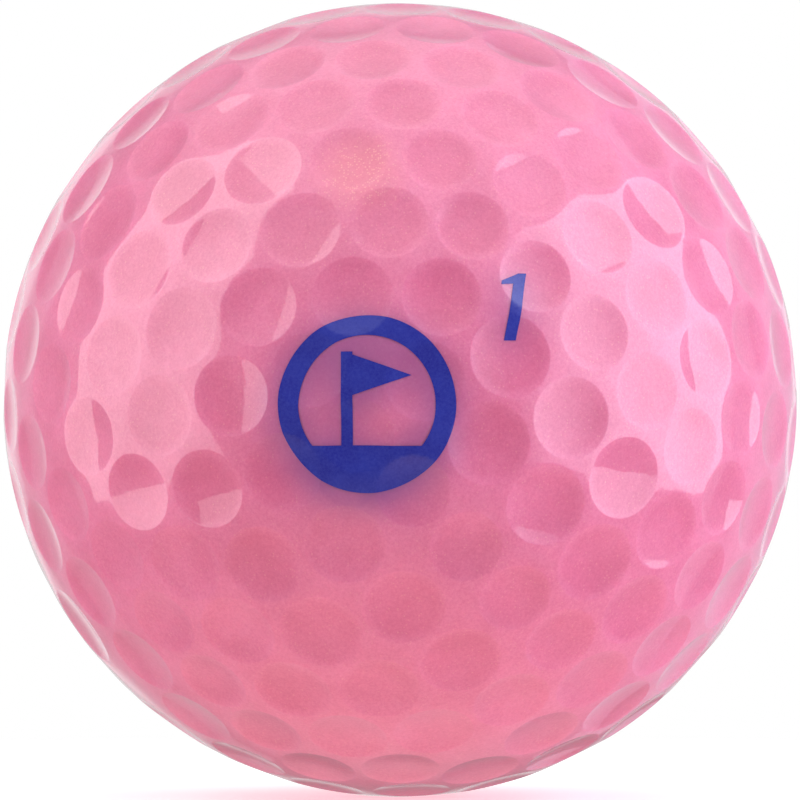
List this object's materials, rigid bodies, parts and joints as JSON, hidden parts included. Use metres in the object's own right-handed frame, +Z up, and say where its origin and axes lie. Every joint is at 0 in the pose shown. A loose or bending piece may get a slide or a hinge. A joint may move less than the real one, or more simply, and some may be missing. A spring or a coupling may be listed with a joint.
{
  "type": "golf ball",
  "caption": "Two-piece golf ball: solid core inside a dimpled, translucent pearl pink cover with printed pole marks, for play from a tee or turf.",
  "frame": {"origin": "centre of the ball", "axes": "-Y out of the front pole with its prints, +X to the right of someone who reads them, +Z up the prints"},
  "size_m": [0.0426, 0.0428, 0.0426],
  "materials": {
    "core_rubber": "matt cross-linked rubber, pale pink",
    "cover_ionomer": "translucent pearl pink ionomer under a clear gloss coat",
    "print_ink": "blue pad-printed ink under a clear gloss coat"
  },
  "bodies": {
    "root": {"core": "core_rubber", "cover_front": "cover_ionomer", "cover_back": "cover_ionomer", "emblem_front": "print_ink", "number_front": "print_ink", "emblem_back": "print_ink", "number_back": "print_ink"}
  },
  "joints": []
}
